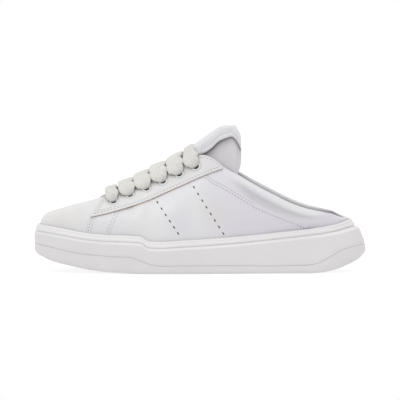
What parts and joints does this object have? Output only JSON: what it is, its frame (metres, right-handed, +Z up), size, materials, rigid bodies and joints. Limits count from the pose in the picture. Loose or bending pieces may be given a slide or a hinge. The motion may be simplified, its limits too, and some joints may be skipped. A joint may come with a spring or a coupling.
{
  "type": "backless leather sneaker mule",
  "caption": "Backless lace-up leather sneaker mule for the left foot, with a thick cupsole, padded collar and a padded tongue that stands up past the throat.",
  "frame": {"origin": "bottom centre of the whole shoe's box, on the ground plane", "axes": "-X towards the toe, -Y towards the outer side of the foot, +Z up"},
  "size_m": [0.278, 0.1044, 0.1215],
  "materials": {
    "white_leather": "smooth full grain, satin",
    "facing_leather": "smooth full grain, satin",
    "tab_leather": "smooth, soft sheen",
    "tongue_padding": "fine matt grain over foam",
    "sole_rubber": "matt moulded",
    "outsole_rubber": "matt moulded",
    "footbed": "matt lining",
    "lace": "flat ribbed weave"
  },
  "bodies": {
    "root": {"outsole": "outsole_rubber", "cupsole": "sole_rubber", "insole": "footbed", "upper": "white_leather", "eyestay_lateral": "facing_leather", "eyestay_medial": "facing_leather", "tongue": "tongue_padding", "tongue_tab": "tab_leather", "lace_bar_1": "lace", "lace_bar_2": "lace", "lace_bar_3": "lace", "lace_bar_4": "lace", "lace_bar_5": "lace", "lace_bar_6": "lace"}
  },
  "joints": []
}
